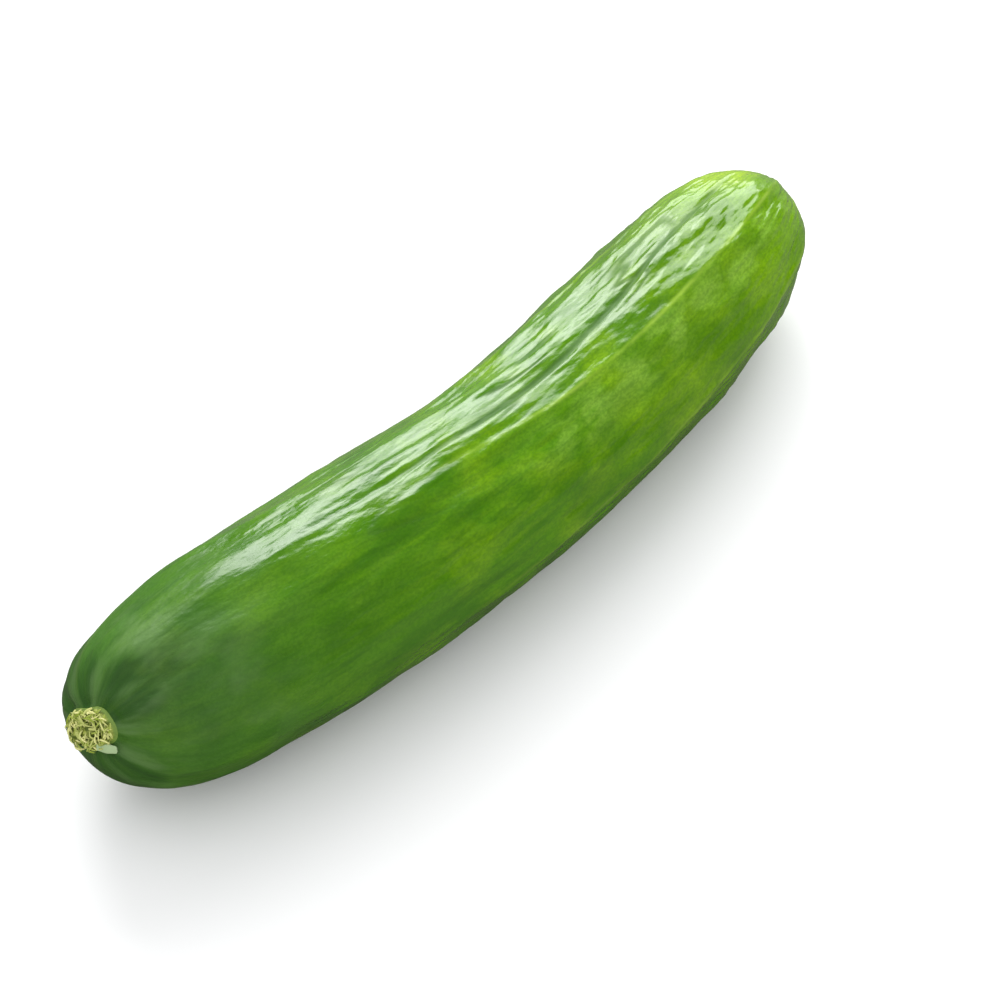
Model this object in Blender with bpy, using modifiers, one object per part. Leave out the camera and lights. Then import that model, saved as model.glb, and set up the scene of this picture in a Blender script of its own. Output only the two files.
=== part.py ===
"""A snack cucumber as picked, lying on its belly: one grown body with blunt ends, six soft ribs under a
puckered skin, the torn scar of its stalk at the -X end and the corky scar of its flower at the +X end.
Metres, +Z up. The origin is under the middle of its box, where the flat of the belly rests."""

from math import pi, radians, sqrt, tau

import bmesh
import bpy
import numpy as np
from mathutils import Matrix, Vector

NAME = "cucumber"

# Driving sizes of the fruit
LENGTH = 0.166  # along its bent middle line
HALF_LENGTH = LENGTH / 2
HALF_WIDTH = 0.0169
TAPER = 0.047  # the stalk end is this share wider than the middle, the flower end as much slimmer
STALK_BLUNTNESS = 7.0  # a larger power makes a squarer end
FLOWER_BLUNTNESS = 5.7
WAIST = 0.031  # share of the width that is missing at the waist
WAIST_STATION = 0.18
WAIST_REACH = 0.3

# Bend of the middle line, hollow side towards +Y
BEND = radians(26.7)
BEND_SKEW = 0.068
BEND_WAVE = 0.055

# Mesh
STATIONS = 60
AROUND = 72
END_CROWDING = 0.75  # 0 spaces the rings evenly, near 1 crowds them at both ends

# Relief of the skin, heights in metres and angles in degrees from the hollow side, 90 on top
KNOTS = (0.0, 0.2, 0.4, 0.6, 0.8, 1.0)  # shares of the length where a rib's angle is given
RIBS = (
    {"angles": (86, 83, 87, 104, 114, 110), "height": 0.00075},
    {"angles": (186, 186, 183, 178.5, 171, 165), "height": 0.00055},
    {"angles": (236, 238, 236, 233, 229, 226), "height": 0.00040},
    {"angles": (300, 302, 299, 296, 292, 290), "height": 0.00045},
    {"angles": (352, 355, 352, 350, 346, 345), "height": 0.00050},
    {"angles": (40, 38, 42, 46, 48, 50), "height": 0.00045},
)
RIB_REACH = 10.0
RIB_ROUNDING = 2.5
RIB_FADE_AT_STALK = 0.45  # share of a rib's height that is left near the stalk
RIB_FADE_SHARES = (0.25, 0.6)  # shares of the length between which it grows to its full height
RELIEF_FADE_SHARES = (0.25, 0.8)  # shares of the full width between which the relief grows at each end
SHORT_RIB = {"station": 0.49, "reach": 0.12, "angle": 147.0, "turn": 90.0, "height": 0.0004}
FURROW_ANGLES = (66, 68, 74, 89, 82.5, 72)
FURROW_DEPTH = 0.00040
FURROW_REACH = 5.0
FURROW_SHARES = (0.42, 0.97)  # shares of the length where it starts and ends
FURROW_FADE = 0.1
SWELL_STATIONS = (0.07, 0.22, 0.36, 0.50, 0.64, 0.80)
FAR_SWELLS = (-0.00060, 0.00041, 0.00058, -0.00028, 0.00034, 0.0)
NEAR_SWELLS = (0.00025, -0.00010, 0.0, 0.00030, 0.0, -0.00010)
FAR_SWELL_ANGLE = 28.0
NEAR_SWELL_ANGLE = 208.0
SWELL_LENGTH = 0.085  # share of the fruit's length
SWELL_WIDTH = 38.0
PUCKER_DEPTH = 0.00016
PUCKER_LENGTH = 0.016
PUCKER_STRETCH = 2.2  # puckers are this much longer than they are wide

# Scar of the stalk, off the axis of the fruit
STALK_SCAR_OFFSET = 0.0062
STALK_SCAR_ANGLE = 121.0
STALK_SCAR_RADIUS = 0.0041
STALK_SCAR_STRETCH = 0.2  # share by which it is longer one way and narrower the other
STALK_SCAR_STRETCH_ANGLE = 131.0
STALK_SCAR_RISE = 0.0005
STALK_SCAR_ROUGHNESS = 0.00022
SCAR_GROOVE_DEPTH = 0.00025
SCAR_GROOVE_WIDTH = 0.0008
SCAR_EDGE = 0.0008  # width of the slope from the scar's face down to its rim
SCAR_GRAIN = 0.0022  # length of its rough lumps
FIBRES = 20
FIBRE_SPREAD = 0.86  # share of the way to the scar's edge that their roots cover
GOLDEN_ANGLE = 137.5  # turn from each root to the next, in degrees
FIBRE_JITTER = 12.0
FIBRE_TIP = 0.35  # a tip's radius as a share of its root's
FIBRE_SIDES = 5
FIBRE_LENGTH = (0.0014, 0.0026)
FIBRE_RADIUS = (0.00028, 0.00048)
FIBRE_TILT = (4.0, 22.0)  # degrees up from the skin
FIBRE_ROOT = 0.0003  # depth of its middle line's lower end in the scar
FLAKE_SIZE = (0.0014, 0.0032, 0.0009)
FLAKE_ANGLE = 190.0
FLAKE_TURN = 45.0  # degrees that its length is turned from the line to the scar's middle
FLAKE_PLACE = 1.05  # distance from the scar's middle as a share of the way to its edge

# Scar of the flower, on the tip
FLOWER_SCAR_OFFSET = 0.0014
FLOWER_SCAR_ANGLE = 300.0
FLOWER_SCAR_RADIUS = 0.0050
FLOWER_SCAR_RISE = 0.00035
FLOWER_HEART_RADIUS = 0.0026
FLOWER_HEART_SINK = 0.0001
FLOWER_CRACKS = 3
FLOWER_CRACK_DEPTH = 0.00025

# The belly, smoother than the rest so that the fruit lies steady on it
BELLY_ANGLE = 270.0
BELLY_WIDTH = 35.0
BELLY_SMOOTHING = 0.9
REST_DEPTH = 0.0005  # it is flattened this far above its lowest point
SEED = 11

SKIN_GREEN = (0.075, 0.24, 0.012, 1.0)
SKIN_ROUGHNESS = 0.32


def empty_scene():
    """Takes away whatever the file opened with and makes the collections for the part and its helpers."""
    for thing in list(bpy.data.objects):
        bpy.data.objects.remove(thing, do_unlink=True)
    part = bpy.data.collections.new(NAME)
    helpers = bpy.data.collections.new("helpers")
    for collection in (part, helpers):
        bpy.context.scene.collection.children.link(collection)
    return part, helpers


def bluntness(x):
    return np.where(x < 0, STALK_BLUNTNESS, FLOWER_BLUNTNESS)


def full_radius(x):
    """Radius that the fruit would have at station x (-1 stalk, 1 flower) if its ends were never closed."""
    waist = WAIST * hump((x - WAIST_STATION) / WAIST_REACH)
    return HALF_WIDTH * (1 - TAPER * x - waist)


def end_share(x):
    """Share of the full radius that is left where the blunt ends close, 1 in the middle and 0 at the tips."""
    return np.sqrt(np.maximum(0.0, 1 - np.abs(x) ** bluntness(x)))


def ring_stations():
    """Stations of the rings, even along the outline but closer together towards both tips."""
    x = -np.cos(np.linspace(0, pi, 4000))
    radius = full_radius(x) * end_share(x)
    run = np.concatenate([[0], np.cumsum(np.hypot(np.diff(x) * HALF_LENGTH, np.diff(radius)))])
    u = np.linspace(0, 1, STATIONS)
    spaced = run[-1] * (u - END_CROWDING * np.sin(tau * u) / tau)
    return np.interp(spaced, run, x)


def middle_line():
    """Stations, x, y and heading of the bent middle line, its ends level with each other along X."""
    x = np.linspace(-1, 1, 800)
    heading = BEND / 2 * (x + BEND_SKEW * (x**2 - 1 / 3) + BEND_WAVE * np.sin(pi * x))
    step = HALF_LENGTH * (x[1] - x[0])

    def summed(rate):
        return np.concatenate([[0], np.cumsum((rate[1:] + rate[:-1]) / 2)]) * step

    along = summed(np.cos(heading))
    aside = summed(np.sin(heading))
    along -= (along[0] + along[-1]) / 2
    aside -= np.interp(0, along, aside)
    return x, along, aside, heading


MIDDLE = middle_line()


def bend(along, aside, up):
    """Carries points from beside a straight axis to beside the bent middle line, whose height follows the
    fruit's width so that the belly lies level."""
    stations, line_x, line_y, line_heading = MIDDLE
    x = np.clip(along / HALF_LENGTH, -1, 1)
    past_end = along - x * HALF_LENGTH
    heading = np.interp(x, stations, line_heading)
    px = np.interp(x, stations, line_x) + past_end * np.cos(heading) - aside * np.sin(heading)
    py = np.interp(x, stations, line_y) + past_end * np.sin(heading) + aside * np.cos(heading)
    return np.stack([px, py, full_radius(x) + up], -1)


def through_knots(values, share):
    """A smooth curve through values given at KNOTS, read at shares of the length."""
    v = np.asarray(values, float)
    v = np.concatenate([[2 * v[0] - v[1]], v, [2 * v[-1] - v[-2]]])
    place = np.clip(share, 0, 1) * (len(values) - 1)
    i = np.minimum(place.astype(int), len(values) - 2)
    f = place - i
    a, b, c, d = v[i], v[i + 1], v[i + 2], v[i + 3]
    return b + f / 2 * ((c - a) + f * ((2 * a - 5 * b + 4 * c - d) + f * (3 * (b - c) + d - a)))


def degrees_between(a, b):
    return (a - b + 180) % 360 - 180


def rise(value, start, end):
    """0 below start, 1 above end, and a soft step between."""
    f = np.clip((value - start) / (end - start), 0, 1)
    return f * f * (3 - 2 * f)


def hump(away):
    """A bell with a height of 1 and a half width of 1."""
    return np.exp(-(away**2))


def crest(away):
    """Cross-section of a rib: a soft crest that falls off to both sides."""
    return np.exp(-(np.sqrt(away**2 + RIB_ROUNDING**2) - RIB_ROUNDING) / RIB_REACH)


def uneven(place, length, seed, waves=28):
    """Smooth uneven ground with a spread of 1: cosines of seeded directions and phases, summed."""
    draw = np.random.default_rng(seed)
    total = np.zeros(place.shape[:-1])
    for _ in range(waves):
        direction = draw.normal(size=3)
        direction *= tau / length * draw.uniform(0.6, 1.4) / np.linalg.norm(direction)
        total += np.cos(place @ direction + draw.uniform(0, tau))
    return total * sqrt(2 / waves)


def ribs(share, angle):
    """The six ribs from end to end, lower near the stalk, and the short one between two of them."""
    height = np.zeros(np.broadcast(share, angle).shape)
    strength = RIB_FADE_AT_STALK + (1 - RIB_FADE_AT_STALK) * rise(share, *RIB_FADE_SHARES)
    for rib in RIBS:
        away = degrees_between(angle, through_knots(rib["angles"], share))
        height += rib["height"] * strength * crest(away)
    from_middle = share - SHORT_RIB["station"]
    away = degrees_between(angle, SHORT_RIB["angle"] + SHORT_RIB["turn"] * from_middle)
    height += SHORT_RIB["height"] * hump(from_middle / SHORT_RIB["reach"]) * crest(away)
    return height


def furrow(share, angle):
    """Depth of the furrow that runs beside the top rib over the flower half."""
    away = degrees_between(angle, through_knots(FURROW_ANGLES, share))
    first, last = FURROW_SHARES
    ends = rise(share, first, first + FURROW_FADE) * (1 - rise(share, last - FURROW_FADE, last))
    return FURROW_DEPTH * ends * hump(away / FURROW_REACH)


def swells(share, angle):
    """Broad swells and hollows down the far side and the near side."""
    far_side = hump(degrees_between(angle, FAR_SWELL_ANGLE) / SWELL_WIDTH)
    near_side = hump(degrees_between(angle, NEAR_SWELL_ANGLE) / SWELL_WIDTH)
    height = 0.0
    for station, far, near in zip(SWELL_STATIONS, FAR_SWELLS, NEAR_SWELLS):
        height = height + hump((share - station) / SWELL_LENGTH) * (far * far_side + near * near_side)
    return height


def skin_relief(x, angle):
    """Height of the ribs, furrow, swells and puckers over the smooth fruit, which fade out at both scars."""
    share = (x + 1) / 2
    body = rise(end_share(x), *RELIEF_FADE_SHARES)
    height = ribs(share, angle) - furrow(share, angle) + swells(share, angle)
    turn = np.radians(angle)
    around = HALF_WIDTH * PUCKER_STRETCH
    place = np.stack(np.broadcast_arrays(x * HALF_LENGTH, around * np.cos(turn), around * np.sin(turn)), -1)
    height += PUCKER_DEPTH * uneven(place, PUCKER_LENGTH, SEED)
    belly = 1 - BELLY_SMOOTHING * hump(degrees_between(angle, BELLY_ANGLE) / BELLY_WIDTH)
    return height * body * belly


def wavy_rim(radius, turn):
    """The uneven edge of a scar, two broad waves and five small ones round it."""
    return radius * (1 + 0.06 * np.sin(2 * turn + 1) + 0.05 * np.sin(5 * turn))


def stalk_rim(angle):
    """The edge of the stalk scar, which is longer one way than the other."""
    turn = np.radians(angle)
    longer = STALK_SCAR_STRETCH * np.cos(2 * (turn - radians(STALK_SCAR_STRETCH_ANGLE)))
    return wavy_rim(STALK_SCAR_RADIUS, turn) * (1 + longer)


def groove_round(reach, rim):
    """The shallow groove where the skin turns in just outside a scar's edge."""
    return SCAR_GROOVE_DEPTH * hump((reach - rim - SCAR_GROOVE_WIDTH) / SCAR_GROOVE_WIDTH)


def stalk_scar_relief(reach, angle):
    """A rough low stub with a groove round it; reach is the distance from the scar's middle."""
    turn = np.radians(angle)
    place = np.stack([reach * np.cos(turn), reach * np.sin(turn), 0 * reach], -1)
    rim = stalk_rim(angle)
    on_scar = 1 - rise(reach, rim - SCAR_EDGE, rim)
    rough = STALK_SCAR_ROUGHNESS * uneven(place, SCAR_GRAIN, SEED + 1)
    return on_scar * (STALK_SCAR_RISE + rough) - groove_round(reach, rim)


def flower_scar_relief(reach, angle):
    """A corky button with a wavy edge and a sunken heart that three cracks divide."""
    turn = np.radians(angle)
    rim = wavy_rim(FLOWER_SCAR_RADIUS, turn)
    button = FLOWER_SCAR_RISE * (1 - rise(reach, rim - SCAR_EDGE, rim))
    heart = 1 - rise(reach, FLOWER_HEART_RADIUS - SCAR_EDGE, FLOWER_HEART_RADIUS)
    cracks = (1 + np.cos(FLOWER_CRACKS * turn)) / 2
    sunk = FLOWER_HEART_SINK + (FLOWER_CRACK_DEPTH - FLOWER_HEART_SINK) * cracks
    return button - heart * sunk - groove_round(reach, rim)


def skin_points(x, angle, lift=0.0):
    """Points of the finished skin at station x and angle, raised by lift. Near each tip the rings are slid
    across the end so that they close on the scar and not on the axis."""
    share = end_share(x)
    turn = np.radians(angle)
    stalk_end = x < 0
    offset = np.where(stalk_end, STALK_SCAR_OFFSET, FLOWER_SCAR_OFFSET) / HALF_WIDTH
    scar_turn = np.radians(np.where(stalk_end, STALK_SCAR_ANGLE, FLOWER_SCAR_ANGLE))
    slide = offset * (1 - share**2) ** 2
    aside = share * np.cos(turn) + slide * np.cos(scar_turn)
    up = share * np.sin(turn) + slide * np.sin(scar_turn)
    out = np.hypot(aside, up)
    power = bluntness(x)
    slid = np.sign(x) * np.maximum(0.0, 1 - out**2) ** (1 / power)
    station = np.where(np.abs(x) > 0.5, slid, x)
    radius = full_radius(station)

    reach = share * HALF_WIDTH
    height = skin_relief(x, angle) + lift
    height = height + np.where(stalk_end, stalk_scar_relief(reach, angle), flower_scar_relief(reach, angle))
    outward = 2 * out / radius
    endward = power * np.abs(station) ** (power - 1) * np.sign(station) / HALF_LENGTH
    length = np.hypot(outward, endward)
    outward, endward = outward / length, endward / length
    nearest = np.maximum(out, 1e-9)
    along = station * HALF_LENGTH + height * endward
    aside = aside * radius + height * outward * aside / nearest
    up = up * radius + height * outward * up / nearest
    return bend(along, aside, up)


def turned_fruit(helpers):
    """The smooth straight fruit, as a mesh: half its outline, flower end first, swept round Z."""
    x = ring_stations()[::-1]
    radius = full_radius(x) * end_share(x)
    radius[[0, -1]] = 0.0
    outline = bpy.data.meshes.new("outline")
    points = [(r, 0.0, station * HALF_LENGTH) for r, station in zip(radius, x)]
    outline.from_pydata(points, [(i, i + 1) for i in range(len(points) - 1)], [])
    turned = bpy.data.objects.new("turned_outline", outline)
    helpers.objects.link(turned)
    screw = turned.modifiers.new("turn", "SCREW")
    screw.angle = tau
    screw.steps = AROUND
    screw.render_steps = AROUND
    screw.use_merge_vertices = True
    screw.merge_threshold = 0.00001
    mesh = evaluated_mesh(turned)
    bpy.data.objects.remove(turned, do_unlink=True)
    return mesh


def evaluated_mesh(thing):
    return bpy.data.meshes.new_from_object(thing.evaluated_get(bpy.context.evaluated_depsgraph_get()))


def grow_skin(mesh):
    """Moves each vertex of the smooth straight fruit to its place on the finished skin."""
    points = np.empty(len(mesh.vertices) * 3)
    mesh.vertices.foreach_get("co", points)
    points = points.reshape(-1, 3)
    x = np.clip(points[:, 2] / HALF_LENGTH, -1, 1)
    angle = np.degrees(np.arctan2(points[:, 1], points[:, 0])) % 360
    grown = skin_points(x, angle)
    rest = grown[:, 2].min() + REST_DEPTH
    grown[:, 2] = np.maximum(grown[:, 2], rest)
    mesh.vertices.foreach_set("co", grown.ravel())
    mesh.update()
    return rest


def scar_frame(reach, angle):
    """A point of the stalk scar, the direction out of the skin there and the one in to the scar's middle."""
    share = reach / HALF_WIDTH
    x = -((1 - share**2) ** (1 / STALK_BLUNTNESS))
    here = Vector(skin_points(np.float64(x), np.float64(angle)))
    raised = Vector(skin_points(np.float64(x), np.float64(angle), HALF_WIDTH))
    normal = (raised - here).normalized()
    beside = Vector(skin_points(np.float64(x), np.float64(angle + 1)))
    inward = (beside - here).cross(normal).normalized()
    return here, normal, inward


def placed(mesh_maker, name, helpers, matrix):
    """One helper piece for the scar, made by bmesh and set in its place."""
    shape = bmesh.new()
    mesh_maker(shape)
    shape.transform(matrix)
    mesh = bpy.data.meshes.new(name)
    shape.to_mesh(mesh)
    shape.free()
    piece = bpy.data.objects.new(name, mesh)
    piece.hide_render = True
    piece.display_type = "WIRE"
    helpers.objects.link(piece)


def torn_fibre(number, draw, helpers):
    """A short strand left where the stalk was torn away, rooted in the scar and leaning over it."""
    angle = (number * GOLDEN_ANGLE + draw.uniform(-FIBRE_JITTER, FIBRE_JITTER)) % 360
    reach = FIBRE_SPREAD * stalk_rim(angle) * sqrt((number + 0.5) / FIBRES)
    here, normal, inward = scar_frame(reach, angle)
    heading = Matrix.Rotation(draw.uniform(0, tau), 3, normal) @ inward
    tilt = radians(draw.uniform(*FIBRE_TILT))
    direction = (heading * np.cos(tilt) + normal * np.sin(tilt)).normalized()
    length = draw.uniform(*FIBRE_LENGTH)
    radius = draw.uniform(*FIBRE_RADIUS)
    middle = here - normal * FIBRE_ROOT + direction * (length / 2 - radius)

    def strand(shape):
        bmesh.ops.create_cone(
            shape,
            cap_ends=True,
            segments=FIBRE_SIDES,
            radius1=radius,
            radius2=radius * FIBRE_TIP,
            depth=length,
        )

    turned = direction.to_track_quat("Z", "X").to_matrix().to_4x4()
    placed(strand, f"fibre_{number}", helpers, Matrix.Translation(middle) @ turned)


def flake(helpers):
    """The flat chip of stalk that still clings to the rim of the scar."""
    here, normal, inward = scar_frame(stalk_rim(FLAKE_ANGLE) * FLAKE_PLACE, FLAKE_ANGLE)
    lengthwise = Matrix.Rotation(radians(FLAKE_TURN), 3, normal) @ inward
    beside = normal.cross(lengthwise)
    turned = Matrix((beside, lengthwise, normal)).transposed().to_4x4()

    def chip(shape):
        bmesh.ops.create_cube(shape, size=1.0, matrix=Matrix.Diagonal((*FLAKE_SIZE, 1.0)))

    placed(chip, "flake", helpers, Matrix.Translation(here) @ turned)


def join_scar(fruit, helpers):
    """Fuses the torn fibres and the chip into the fruit and clears them away."""
    union = fruit.modifiers.new("scar", "BOOLEAN")
    union.operation = "UNION"
    union.operand_type = "COLLECTION"
    union.collection = helpers
    union.solver = "EXACT"
    union.use_self = True
    joined = evaluated_mesh(fruit)
    fruit.modifiers.remove(union)
    fruit.data = joined
    for piece in list(helpers.objects):
        bpy.data.objects.remove(piece, do_unlink=True)


def set_on_origin(mesh, rest):
    """Moves the fruit so that its flat belly is at Z 0 and the middle of its box over the origin."""
    points = np.empty(len(mesh.vertices) * 3)
    mesh.vertices.foreach_get("co", points)
    points = points.reshape(-1, 3)
    middle = (points.min(0) + points.max(0)) / 2
    points -= (middle[0], middle[1], rest)
    points[np.abs(points[:, 2]) < 1e-6, 2] = 0.0
    mesh.vertices.foreach_set("co", points.ravel())
    mesh.update()


def skin_material():
    """Waxy green skin."""
    material = bpy.data.materials.new("skin")
    material.use_nodes = True
    shader = material.node_tree.nodes["Principled BSDF"]
    shader.inputs["Base Color"].default_value = SKIN_GREEN
    shader.inputs["Roughness"].default_value = SKIN_ROUGHNESS
    shader.inputs["Metallic"].default_value = 0.0
    material.diffuse_color = SKIN_GREEN
    return material


def make_cucumber():
    part, helpers = empty_scene()
    mesh = turned_fruit(helpers)
    rest = grow_skin(mesh)
    fruit = bpy.data.objects.new(NAME, mesh)
    part.objects.link(fruit)
    draw = np.random.default_rng(SEED)
    for number in range(FIBRES):
        torn_fibre(number, draw, helpers)
    flake(helpers)
    join_scar(fruit, helpers)
    set_on_origin(fruit.data, rest)
    fruit.data.name = NAME
    fruit.data.shade_smooth()
    fruit.data.set_sharp_from_angle(angle=radians(50))
    fruit.data.materials.clear()
    fruit.data.materials.append(skin_material())
    bpy.data.collections.remove(helpers)


make_cucumber()
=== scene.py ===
from math import pi, radians, sqrt, tau

import bpy
import numpy as np
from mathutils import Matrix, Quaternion, Vector


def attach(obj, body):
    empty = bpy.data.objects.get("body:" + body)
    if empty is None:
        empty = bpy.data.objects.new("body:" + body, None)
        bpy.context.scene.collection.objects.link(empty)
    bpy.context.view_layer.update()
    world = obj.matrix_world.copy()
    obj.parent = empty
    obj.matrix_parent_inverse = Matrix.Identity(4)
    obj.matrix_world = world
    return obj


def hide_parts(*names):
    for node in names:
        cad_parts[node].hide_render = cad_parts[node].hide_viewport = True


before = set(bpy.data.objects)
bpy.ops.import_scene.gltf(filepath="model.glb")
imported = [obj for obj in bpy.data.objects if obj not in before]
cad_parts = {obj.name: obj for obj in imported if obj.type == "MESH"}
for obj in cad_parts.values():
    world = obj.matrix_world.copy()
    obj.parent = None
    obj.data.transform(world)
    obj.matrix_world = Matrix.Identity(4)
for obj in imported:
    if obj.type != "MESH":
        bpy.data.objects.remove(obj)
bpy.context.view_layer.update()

# The studio
# A white table that runs on past the picture, a large softbox that hangs behind the fruit, a smaller and
# brighter one beside it, and an even white room. The camera looks down on the fruit through a long lens.

CAMERA_TARGET = Vector((-0.0010, -0.0064, 0.0161))
CAMERA_AZIMUTH = -135.9  # degrees from +X towards +Y, as for the softboxes
CAMERA_ELEVATION = 52.0
CAMERA_DISTANCE = 0.56
CAMERA_LENS = 122.3  # millimetres
CAMERA_SENSOR = 36.0
CAMERA_NEAR = 0.01
TABLE_SIZE = 6.0
TABLE_ROUGHNESS = 0.8
TABLE_WHITE = (0.92, 0.925, 0.93, 1.0)
TABLE_TO_FRUIT = (0.42, 0.43, 0.34, 1.0)  # how much light it throws back on the fruit
TABLE_IN_GLOSS = (0.13, 0.14, 0.11, 1.0)  # how it shows in the fruit's shine
ROOM_WHITE = (1.0, 1.0, 1.0, 1.0)
ROOM_STRENGTH = 1.10
SOFTBOX_DISTANCE = 1.50
SOFTBOXES = (
    {"name": "softbox", "azimuth": 38.5, "elevation": 28.5, "size": (1.42, 1.32), "radiance": 3.7},
    {"name": "softbox_heart", "azimuth": 57.5, "elevation": 34.0, "size": (0.66, 0.52), "radiance": 4.1},
)
MIX_FIRST, MIX_SECOND, MIX_RESULT = 6, 7, 2  # a Mix node's sockets for colours


def hang(name, data, target, azimuth, elevation, distance):
    """Puts the camera or a lamp at a distance from its target and turns it there; angles in degrees."""
    turn, up = radians(azimuth), radians(elevation)
    away = Vector((np.cos(turn) * np.cos(up), np.sin(turn) * np.cos(up), np.sin(up)))
    holder = bpy.data.objects.new(name, data)
    holder.location = target + away * distance
    holder.rotation_euler = (-away).to_track_quat("-Z", "Y").to_euler()
    bpy.context.scene.collection.objects.link(holder)
    return holder


def camera():
    lens = bpy.data.cameras.new("camera")
    lens.lens = CAMERA_LENS
    lens.sensor_width = CAMERA_SENSOR
    lens.clip_start = CAMERA_NEAR
    return hang("camera", lens, CAMERA_TARGET, CAMERA_AZIMUTH, CAMERA_ELEVATION, CAMERA_DISTANCE)


def blended(tree, factor, first, second):
    """Two colours blended by a mask; either colour may be fixed or an output."""
    node = tree.nodes.new("ShaderNodeMix")
    node.data_type = "RGBA"
    tree.links.new(factor, node.inputs["Factor"])
    for socket, value in ((node.inputs[MIX_FIRST], first), (node.inputs[MIX_SECOND], second)):
        if isinstance(value, tuple):
            socket.default_value = value
        else:
            tree.links.new(value, socket)
    return node.outputs[MIX_RESULT]


def plain_shader(name, roughness):
    material = bpy.data.materials.new(name)
    material.use_nodes = True
    shader = material.node_tree.nodes["Principled BSDF"]
    shader.inputs["Roughness"].default_value = roughness
    return material, material.node_tree, shader


def table():
    half = TABLE_SIZE / 2
    corners = [(-half, -half, 0), (half, -half, 0), (half, half, 0), (-half, half, 0)]
    mesh = bpy.data.meshes.new("table")
    mesh.from_pydata(corners, [], [(0, 1, 2, 3)])
    paint, tree, shader = plain_shader("table_white", TABLE_ROUGHNESS)
    rays = tree.nodes.new("ShaderNodeLightPath")
    shade = blended(tree, rays.outputs["Is Diffuse Ray"], TABLE_WHITE, TABLE_TO_FRUIT)
    shade = blended(tree, rays.outputs["Is Glossy Ray"], shade, TABLE_IN_GLOSS)
    tree.links.new(shade, shader.inputs["Base Color"])
    mesh.materials.append(paint)
    top = bpy.data.objects.new("table", mesh)
    bpy.context.scene.collection.objects.link(top)


def softbox(box):
    lamp = bpy.data.lights.new(box["name"], "AREA")
    lamp.shape = "RECTANGLE"
    lamp.size, lamp.size_y = box["size"]
    lamp.energy = box["radiance"] * pi * lamp.size * lamp.size_y
    hang(box["name"], lamp, Vector(), box["azimuth"], box["elevation"], SOFTBOX_DISTANCE)


def room():
    world = bpy.data.worlds.new("room")
    world.use_nodes = True
    background = world.node_tree.nodes["Background"]
    background.inputs["Color"].default_value = ROOM_WHITE
    background.inputs["Strength"].default_value = ROOM_STRENGTH
    world.cycles_visibility.glossy = False
    bpy.context.scene.world = world


bpy.context.scene.camera = camera()
table()
for box in SOFTBOXES:
    softbox(box)
room()
bpy.context.scene.view_settings.view_transform = "Standard"

# The fruit
# One grown body of firm, watery flesh under a thin waxy skin. It swelled between its stalk and its flower, so
# six soft ribs run from scar to scar, and the skin has drawn into fine wrinkles and puckers along them. The
# form is the one of the solid that it replaces, with a finer skin.

LENGTH = 0.166  # along its bent middle line
HALF_LENGTH = LENGTH / 2
HALF_WIDTH = 0.0169
TAPER = 0.047  # the stalk end is this share wider than the middle, the flower end as much slimmer
STALK_BLUNTNESS = 7.0  # a larger power makes a squarer end
FLOWER_BLUNTNESS = 5.7
WAIST = 0.031  # share of the width that is missing at the waist
WAIST_STATION = 0.18
WAIST_REACH = 0.3
BEND = radians(26.7)  # hollow side towards +Y
BEND_SKEW = 0.068
BEND_WAVE = 0.055
MIDDLE_STEPS = 800
GROWN_TO_FRAME = (0.000274, -0.002488, -0.000469)  # from the middle line's own origin to the frame's

SKIN_STATIONS = 246
SKIN_AROUND = 400
END_CROWDING = 0.45  # 0 spaces the rings evenly, near 1 crowds them at both ends
TOP_CROWDING = 0.35  # the same round the fruit, towards its top
RUN_STEPS = 4000
SLID_FROM = 0.5  # rings past this station are slid towards the scar of their end
TIP_CLEARANCE = 1e-9  # keeps the point on the tip itself from being divided by nought

# Ribs: angles in degrees from the hollow side, 90 on top, at even steps from the stalk to the flower. The
# short ones have a middle and reach in shares of the length, and veer by their turn over the whole of it.
# pale: strength of the line on each crest, which is partly the rib's own pale and partly a painted highlight
RIBS = (
    {"angles": (86, 85, 96, 109, 111.5, 110), "height": 0.00075, "pale": 0.8,
     "low": 0.3, "grows": (0.58, 0.84)},
    {"angles": (186, 186, 183, 178.5, 171, 165), "height": 0.00055, "pale": 0.5},
    {"angles": (236, 238, 236, 233, 229, 226), "height": 0.00040, "pale": 0.5},
    {"angles": (300, 302, 299, 296, 292, 290), "height": 0.00045, "pale": 0.7},
    {"angles": (352, 355, 352, 350, 346, 345), "height": 0.00050, "pale": 0.5},
    {"angles": (40, 38, 42, 46, 48, 50), "height": 0.00045, "pale": 0.4},
)
RIB_LOW = 0.45  # share of a rib's height that is left near the stalk, where the rib gives none itself
RIB_GROWS = (0.25, 0.6)  # and shares of the length between which it grows to its full height
RIB_REACH = 10.0
RIB_ROUNDING = 3.5
RIB_LINE_WIDTH = 1.3  # of the line on its crest, partly its own pale and partly a painted highlight
RIB_LINE_GROWS = (0.3, 0.6)
RELIEF_GROWS = (0.25, 0.8)  # shares of the full width between which the relief grows at each end
SHORT_RIBS = (
    {"station": 0.49, "reach": 0.12, "angle": 147.0, "turn": 90.0, "height": 0.0004, "width": 10.0},
    {"station": 0.33, "reach": 0.09, "angle": 109.0, "turn": -20.0, "height": 0.00035, "width": 5.0},
    {"station": 0.54, "reach": 0.16, "angle": 107.5, "turn": 14.0, "height": 0.00020, "width": 2.5},
    {"station": 0.38, "reach": 0.12, "angle": 76.0, "turn": 20.0, "height": 0.00022, "width": 4.0},
)
FURROW_ANGLES = (80, 83, 87, 89, 81, 72)
FURROW_DEPTH = 0.00032
FURROW_REACH = 2.2
FURROW_GROWS = (0.22, 0.58)
FURROW_ENDS = (0.87, 0.97)

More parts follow.
